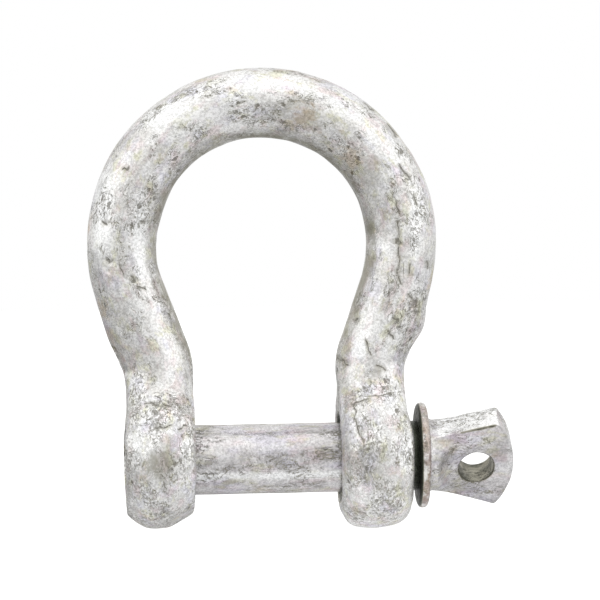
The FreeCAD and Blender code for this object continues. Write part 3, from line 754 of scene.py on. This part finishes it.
def mark(piece, name, values):
    """Gives each point of a piece a number, or three, which the materials read by name."""
    kind, socket = ("FLOAT", "value") if values.ndim == 1 else ("FLOAT_VECTOR", "vector")
    attribute = piece.data.attributes.new(name, kind, "POINT")
    attribute.data.foreach_set(socket, values.astype(np.float32).ravel())


def vertices(piece):
    """A piece's points in millimetres."""
    found = np.empty(len(piece.data.vertices) * 3)
    piece.data.vertices.foreach_get("co", found)
    return found.reshape(-1, 3) / MM


def near_laps(points):
    """For each point: how far it is across the nearest lap, over the lap's half width and signed; how
    far it lies within the lap's length, from 0 to 1; and how deep the metal is folded in there."""
    x, y, z = points.T
    nearest, across = np.full(len(points), FAR), np.full(len(points), FAR)
    within, depth = np.zeros(len(points)), np.zeros(len(points))
    wander = 0.35 * rough(points, 1.2, 7.7) + 0.12 * rough(points, 0.6, 1.4)
    laps = [(*lap, y > 0) for lap in FRONT_LAPS] + [(*lap, y < 0) for lap in BACK_LAPS]
    for start, end, half_width, deep, other_side in laps:
        run = np.subtract(end, start)
        length = np.hypot(*run)
        run = run / length
        u = (x - start[0]) * run[0] + (z - start[1]) * run[1]
        v = (z - start[1]) * run[0] - (x - start[0]) * run[1] + wander
        past = np.maximum(np.maximum(-u, u - length), 0)
        away = np.hypot(v, past) + np.where(other_side, FAR, 0)
        closer = away < nearest
        nearest = np.where(closer, away, nearest)
        across = np.where(closer, v / half_width, across)
        inside = (1 - smooth_step(0.05, 0.4, past)) * (1 - smooth_step(0.6, 1.2, away))
        within = np.where(closer, inside, within)
        depth = np.maximum(depth, deep * np.exp(-(away / (half_width + 0.15)) ** 2))
    return np.clip(across, -FAR, FAR), within, depth


def bow_relief(points):
    """The forging's waves, with more lumps at the ears."""
    lower = 1 - smooth_step(9.0, 19.0, points[:, 2])
    return relief(points, BOW_WAVES) + EAR_LUMPS * lower * (rough(points, 1.8, 12.0) - 0.15)


def spread(points, places, firmness=1):
    """The greatest of some marks at each point: the middle, the reach and the strength of each. A
    greater firmness gives each an even middle and a firmer edge."""
    found = np.zeros(len(points))
    for centre, reach, strength in places:
        share = np.exp(-(((points - centre) / reach) ** 2).sum(1) ** firmness)
        found = np.maximum(found, share * strength)
    return found


def bore_and_pin_shade(points):
    """Painted shade in the plain ear's hole, and round the pin where it enters the ears' inner faces."""
    x, z = points[:, 0], points[:, 2]
    from_hole = hole(points, PLAIN_HOLE_RADIUS)
    from_face = np.abs(np.abs(x) - JAW)
    ring = 1.7 * (1 - smooth_step(0.5, 1.1, from_face)) * (1 - smooth_step(0.35, 0.95, np.abs(from_hole)))
    wall = 1.45 * (1 - smooth_step(0.1, 0.4, from_hole)) * (x > JAW) * (z < EARS_TOP)
    return np.maximum(ring, wall)


def mark_bow(bow):
    """Soil in hollows, painted shade inside the bow, in the plain hole and round the pin, painted shade and
    dark reflections in darker places, and the bow's other marks.
    """
    found = vertices(bow)
    run = along_bar(found)
    height = found[:, 2]
    hollows = smooth_step(0.04, 0.18, -bow_relief(found)) * 0.40 - 0.1
    hollows = np.maximum(hollows, -5 * craters(found, **BOW_CRATERS))
    # painted shade on the inner side of the bow
    inside = smooth_step(3.0, 5.0, -run[:, 1]) * smooth_step(11, 17, height)
    inside = inside * (0.74 + 0.35 * rough(found, 2.6, 8.0))
    soil_and_shade = [hollows, inside, spread(found, PAINTED_DARK_PLACES, firmness=2), bore_and_pin_shade(found)]
    mark(bow, "soil_and_shade", np.maximum.reduce(soil_and_shade))
    mark(bow, "run", run)
    mark(bow, "rubbed_and_highlight", spread(found, RUBS_AND_HIGHLIGHTS))
    cracked = 0.42 * (1 - smooth_step(7.0, 15.0, height))
    mark(bow, "lap", np.stack([*near_laps(found)[:2], cracked], -1))
    stains = [1 - np.linalg.norm(found - centre, axis=1) / radius for centre, radius in STAINS]
    mark(bow, "stain", np.maximum(np.maximum.reduce(stains), -1.0))


def build_bow():
    points, quads = mesh_field(bow_field, BOW_LOW - 0.4, BOW_HIGH + 0.4, BOW_CELL)
    points, normals = settle(bow_field, points, quads)
    # the holes stay smooth, and the rest gets the forging's dents
    smooth = (hole(points, PLAIN_HOLE_RADIUS) < 0.6) & (points[:, 2] < EARS_TOP)
    out = bow_relief(points) + craters(points, **BOW_CRATERS) - near_laps(points)[2]
    points = np.where(smooth[:, None], points, points + out[:, None] * normals)
    points = np.clip(points, BOW_LOW + 0.01, BOW_HIGH - 0.01)
    bow = new_piece("bow_forging", points, quads)
    bow = combine(bow, ear_tap(), "DIFFERENCE")
    mark_bow(bow)
    bow.data.set_sharp_from_angle(angle=math.radians(42))
    bow.data.materials.append(bow_zinc())
    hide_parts("bow_body")
    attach(bow, "bow")


def thread_radius(along, mouth, root, play=0.0):
    """The radius at a distance along from a groove's centre. The groove narrows from the radius at its
    mouth to the radius at its root, and play is added at each flank."""
    outside = 1 if mouth > root else -1
    wide, narrow = (PITCH / 4 + outside * (r - PITCH_LINE) * FLANK + play for r in (mouth, root))
    away = abs((along + PITCH / 2) % PITCH - PITCH / 2)
    t = min(max((wide - away) / (wide - narrow), 0), 1)
    return mouth + (root - mouth) * t


def pin_thread(x):
    """The pin's thread at x, with the eye upright, as a function of the angle from +Y towards +Z."""
    taper = min(max(x - PIN_LOW[0], 0), 1)

    def radius(angle):
        along = x - THREAD_START - PITCH * (angle - GROOVE_ANGLE) / (2 * math.pi)
        return min(thread_radius(along, THREAD_RADIUS, THREAD_ROOT), THREAD_RADIUS - 1 + taper)
    return radius


def ear_thread(x, least):
    """The ear's thread at x, which runs half a pitch from the pin's; its radius is never below least."""
    def radius(angle):
        turn = (angle - EYE_TURN - GROOVE_ANGLE) / (2 * math.pi)
        along = x - THREAD_START - PITCH * (turn + 0.5)
        return max(least, thread_radius(along, EAR_BORE, EAR_ROOT, THREAD_PLAY))
    return radius


def steps(start, end, count):
    """The places that divide a length into count equal parts, with both its ends."""
    return [start + (end - start) * k / count for k in range(count + 1)]


def ear_tap():
    """What is cut from the threaded ear: its bore with the thread and both mouths."""
    face, end = -JAW - THREADED_EAR, -JAW - MOUTH_DEPTH
    outline = [(face - 1.5, MOUTH_RADIUS + 1.5), (face, MOUTH_RADIUS)]
    for x in steps(face, end, 170):
        cone = MOUTH_RADIUS - min(x - face, end - x)
        outline.append((x, ear_thread(x, max(cone, EAR_BORE))))
    outline += [(end + 0.02, MOUTH_RADIUS), (-JAW + 1.0, MOUTH_RADIUS)]
    return lathe("ear_tap", outline, around=72)


# ---- the pin and its collar ----

def worn_shank(x):
    """The plain shank at x, as a function of the angle: always a little under its full radius."""
    def radius(angle):
        spot = Vector((x / 5, math.cos(angle) * 1.2, math.sin(angle) * 1.2))
        return PIN_RADIUS - 0.02 + 0.04 * (noise.noise(spot) - 0.5)
    return radius


def shank_outline():
    """The pin's outline from its tip to the collar's seat, and the stub inside its head."""
    tip, seat = PIN_LOW[0] + 0.02, COLLAR_IN - SEAT_PLAY
    stub, stub_radius = COLLAR_OUT + SEAT_PLAY, 4.0
    outline = [(tip, 0.5 * PIN_RADIUS), (tip, THREAD_RADIUS - 1)]
    outline += [(x, pin_thread(x)) for x in steps(PIN_LOW[0] + SKIN, RELIEF_START, 150)]
    outline += [(RELIEF_START + 0.2, THREAD_ROOT - 0.05), (RELIEF_END - 0.2, THREAD_ROOT - 0.05),
                (RELIEF_END, PIN_RADIUS - 0.25), (RELIEF_END + 0.25, PIN_RADIUS - 0.02)]
    outline += [(x, worn_shank(x)) for x in steps(RELIEF_END + 0.25, seat - 0.1, 90)[1:-1]]
    outline += [(seat, PIN_RADIUS - 0.1), (seat, SEAT_RADIUS), (stub, SEAT_RADIUS)]
    return outline + [(stub, stub_radius), (COLLAR_OUT + 1.6, stub_radius)]


def forged_head():
    """The pin's head, with the flat eye upright. It stays smooth where it meets the collar."""
    low, high = (COLLAR_OUT - 0.3, -6.2, -7.6), (PIN_HIGH[0] + 0.3, 6.2, 7.6)
    points, quads = mesh_field(head_field, low, high, HEAD_CELL)
    points, normals = settle(head_field, points, quads)
    out = relief(points, HEAD_WAVES)
    out[points[:, 0] < COLLAR_OUT + 0.35] = 0
    return new_piece("head", points + out[:, None] * normals, quads)


def mark_pin(pin):
    """Painted shade on the seat under the collar and in the eye, painted dark reflections along the shank's
    top and bottom, a darker thread, a dark line along the fan's upper edge, and painted highlights and a
    painted reflection of the floor."""
    found = vertices(pin)
    x, y, z = found.T
    c, s = math.cos(EYE_TURN), math.sin(EYE_TURN)
    flat_y, flat_z = y * c + z * s, z * c - y * s
    # painted shade on the seat, seen through the gap between the ear and the collar
    seat = 2.0 * smooth_step(COLLAR_IN - 1.6, COLLAR_IN - 0.8, x)
    seat = seat * (1 - smooth_step(COLLAR_IN, COLLAR_IN + 0.3, x))
    thread = 0.5 * (1 - smooth_step(RELIEF_END - 0.4, RELIEF_END + 0.2, x))
    # painted shade on the eye hole's wall
    in_eye = np.hypot(x - EYE_HOLE_X, flat_z - EYE_HOLE_Z) - EYE_HOLE_RADIUS
    eye = 1.40 * (1 - smooth_step(0.0, 0.22, in_eye)) * (x > COLLAR_OUT)
    # the fan's upper edge; rise goes from 0 at the collar to 1 at the fan's widest place
    widest = PIN_HIGH[0] - EYE_CORNER
    rise = (x - COLLAR_OUT) / (widest - COLLAR_OUT)
    edge_z = FAN_ROOT + (EYE_HALF_WIDTH - FAN_ROOT) * rise - EYE_DROOP * rise - 0.15
    wander = 0.10 * rough(found, 0.8, 1.1)
    away = np.hypot(flat_z - edge_z + wander, flat_y + EYE_HALF_THICKNESS)
    edge = 1.7 * np.exp(-(away / 0.24) ** 2)
    edge = edge * smooth_step(0.35, 0.5, rise) * (1 - smooth_step(0.93, 1.0, rise))
    # painted dark reflections along the shank's top and bottom, between the ears
    broken = (0.75 + 0.9 * rough(found, 1.3, 6.0)) * (np.abs(x) < JAW + 1)
    top_dark_reflection = broken * smooth_step(0.94, 1.0, z / PIN_RADIUS)
    bottom_dark_reflection = 0.9 * broken * smooth_step(0.94, 1.0, -z / PIN_RADIUS)
    mark(pin, "soil_and_shade", np.maximum.reduce([seat, thread, eye, edge, top_dark_reflection, bottom_dark_reflection]))
    # painted highlights on the fan's upper side and the upper part of its end, and a painted reflection of
    # the floor in a band along the shank
    upper = 1.2 * smooth_step(-0.15, 0.1, flat_z - edge_z) * smooth_step(0.0, 0.3, rise)
    end = 0.5 * smooth_step(-0.9, -0.2, x - widest - 1.9) * smooth_step(-3, 1, flat_z)
    floor_reflection_band = 0.75 * (np.abs(x) < JAW) * (y < 0) * np.exp(-((z / PIN_RADIUS + 0.45) / 0.15) ** 2)
    mark(pin, "rubbed_and_highlight", np.maximum.reduce([upper, end, floor_reflection_band]))


def build_pin():
    pin = lathe("screw_pin_forging", shank_outline())
    pin = combine(pin, forged_head(), "UNION")
    pin.data.transform(Matrix.Rotation(EYE_TURN, 4, "X"))
    pin.data.set_sharp_from_angle(angle=math.radians(38))
    mark_pin(pin)
    pin.data.materials.append(pin_zinc())
    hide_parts("screw_pin")
    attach(pin, "pin")


def collar_rim(inset):
    """The collar's uneven radius, less inset, as a function of the angle."""
    def radius(angle):
        spot = Vector((math.cos(angle) * 2.2, math.sin(angle) * 2.2, 3.7))
        return COLLAR_RADIUS - 0.09 + 0.14 * (noise.noise(spot) - 0.25) - inset
    return radius


def build_collar():
    middle = (COLLAR_IN + COLLAR_OUT) / 2
    half = (COLLAR_OUT - COLLAR_IN) / 2 - 0.01
    edge = 0.62  # the rounding of the rim's edges
    flat_radii = [SEAT_RADIUS + SEAT_PLAY, 5.6, 6.4]
    outline = [(COLLAR_IN + 0.01, r) for r in flat_radii]
    turns = steps(0, math.pi / 2, 8)
    for side, order in ((-1, turns), (1, turns[::-1])):
        for turn in order:
            x = middle + side * (half - edge * (1 - math.cos(turn)))
            outline.append((x, collar_rim(edge * (1 - math.sin(turn)))))
    outline += [(COLLAR_OUT - 0.01, r) for r in flat_radii[::-1]]
    collar = lathe("pin_collar_ring", outline, around=144, ring=True)
    collar.data.set_sharp_from_angle(angle=math.radians(40))
    # painted shade on the collar's face towards the ear, with some grime
    shade_towards_ear = 1 - smooth_step(COLLAR_IN + 0.15, COLLAR_IN + 0.5, vertices(collar)[:, 0])
    mark(collar, "soil_and_shade", 2.0 * shade_towards_ear)
    collar.data.materials.append(collar_zinc())
    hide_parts("pin_collar")
    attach(collar, "collar")


build_bow()
build_pin()
build_collar()


# ---- stage, light and camera ----

def direction(azimuth, elevation):
    """A unit vector from the object towards a place round it; azimuth 0 is the front, 90 the right."""
    a, e = math.radians(azimuth), math.radians(elevation)
    return Vector((math.sin(a) * math.cos(e), -math.cos(a) * math.cos(e), math.sin(e)))


FLOOR_GLOW = 0.20  # how brightly the floor lights the object from below
FLOOR_FRONT = 0.22  # added towards the front
FLOOR_SIDE = 0.13  # added to the right and taken away on the left
FLOOR_NEAR = 0.42  # added close round the ears and the eye
FLOOR_SEEN = 0.93  # what the camera sees


def build_floor():
    """A pale floor. The camera sees it nearly white, and the object sees it as a large soft light,
    stronger at the front and the right and close to the object."""
    low = min(BOW_LOW[2], PIN_LOW[2], COLLAR_LOW[2]) * MM
    bpy.ops.mesh.primitive_plane_add(size=40, location=(0, 0, low))
    floor = bpy.context.object
    floor.name = "floor"
    n = Nodes("pale_floor")
    n.shader.inputs["Base Color"].default_value = (0.3, 0.3, 0.3, 1)
    n.shader.inputs["Roughness"].default_value = 0.9
    n.shader.inputs["Specular IOR Level"].default_value = 0.0
    front = n.ramp(n.dot(n.place, (0, -1, 0)), -10, 70, end=FLOOR_FRONT)
    side = n.ramp(n.dot(n.place, (1, 0, 0)), -45, 45, start=-FLOOR_SIDE, end=FLOOR_SIDE)
    from_ears = n.vector("MULTIPLY", n.vector("ADD", n.place, (-3, 9, 0)), (0.5, 1, 0))
    close = n.ramp(n.vector("LENGTH", from_ears, output="Value"), 10, 24, start=FLOOR_NEAR, end=0.0)
    glow = n.add(n.add(n.add(front, side), close), FLOOR_GLOW)
    seen = n.tree.nodes.new("ShaderNodeLightPath").outputs["Is Camera Ray"]
    n.link(n.greater(glow, n.times(seen, FLOOR_SEEN)), n.shader.inputs["Emission Strength"])
    n.shader.inputs["Emission Color"].default_value = (1, 1, 1, 1)
    floor.data.materials.append(n.material)


# the light tent's brightness: below the horizon, at it and overhead
BELOW, HORIZON, ZENITH = 0.45, 0.89, 1.03
SIDES = 0.42  # the bright ring round a dimmer place at the camera
BACK = 0.04  # taken away behind the object
KEY = 0.23  # the strongest place, overhead and a little in front
FRONT = direction(0, 0)
OVERHEAD = direction(0, 82)


def build_world():
    """A light tent, brightest overhead. The camera itself sees plain white."""
    world = bpy.data.worlds.new("studio")
    bpy.context.scene.world = world
    world.use_nodes = True
    n = Nodes(tree=world.node_tree)
    n.tree.nodes.clear()
    towards = n.tree.nodes.new("ShaderNodeTexCoord").outputs["Generated"]

    def near(axis, full, end):
        """1 within full degrees of an axis, and 0 beyond end degrees."""
        return n.ramp(n.dot(towards, axis), math.cos(math.radians(end)), math.cos(math.radians(full)))

    up = n.dot(towards, (0, 0, 1))
    lower = n.ramp(up, -0.4, 0.15, start=BELOW, end=HORIZON)
    upper = n.ramp(up, 0.0, 1.0, end=ZENITH - HORIZON)
    ring = n.math("SUBTRACT", near(FRONT, 75, 125), near(FRONT, 14, 42), clamp=True)
    ring = n.times(ring, n.ramp(up, -0.3, 0.1))
    ring = n.times(ring, n.ramp(up, 0.3, 0.7, start=SIDES, end=SIDES / 2))
    key = n.times(near(OVERHEAD, 14, 50), KEY)
    back = n.times(n.ramp(n.dot(towards, (0, 1, 0)), 0.0, 0.8), -BACK)
    total = n.add(n.add(n.add(lower, upper), n.add(ring, key)), back)
    surround, white = (n.tree.nodes.new("ShaderNodeBackground") for _ in range(2))
    n.link(total, surround.inputs["Strength"])
    surround.inputs["Color"].default_value = (1, 0.995, 0.98, 1)
    white.inputs["Color"].default_value = (1, 1, 1, 1)
    mix = n.tree.nodes.new("ShaderNodeMixShader")
    path = n.tree.nodes.new("ShaderNodeLightPath")
    n.link(path.outputs["Is Camera Ray"], mix.inputs["Fac"])
    n.link(surround.outputs[0], mix.inputs[1])
    n.link(white.outputs[0], mix.inputs[2])
    n.link(mix.outputs[0], n.tree.nodes.new("ShaderNodeOutputWorld").inputs["Surface"])


CAMERA_DISTANCE = 583
CAMERA_FIELD = 85.7  # the width it sees at the object
CAMERA_AZIMUTH = -3.7  # in degrees, a little to the left
CAMERA_ROLL = -1.1  # in degrees
CAMERA_TARGET = (4.857, 22.64)  # to the right and up from the pin's middle, as the camera sees it


def build_camera():
    back = direction(CAMERA_AZIMUTH, 0)
    right = Vector((0, 0, 1)).cross(back).normalized()
    up = back.cross(right)
    roll = math.radians(CAMERA_ROLL)
    right, up = (right * math.cos(roll) + up * math.sin(roll),
                 up * math.cos(roll) - right * math.sin(roll))
    place = right * CAMERA_TARGET[0] + up * CAMERA_TARGET[1] + back * CAMERA_DISTANCE
    camera = bpy.data.objects.new("camera", bpy.data.cameras.new("camera"))
    camera.data.lens = camera.data.sensor_width * CAMERA_DISTANCE / CAMERA_FIELD
    camera.data.clip_start = 0.01
    turned_to_object = Matrix((right, up, back)).transposed().to_4x4()
    camera.matrix_world = Matrix.Translation(place * MM) @ turned_to_object
    bpy.context.scene.collection.objects.link(camera)
    bpy.context.scene.camera = camera


build_floor()
build_world()
build_camera()
bpy.context.scene.view_settings.view_transform = "Standard"
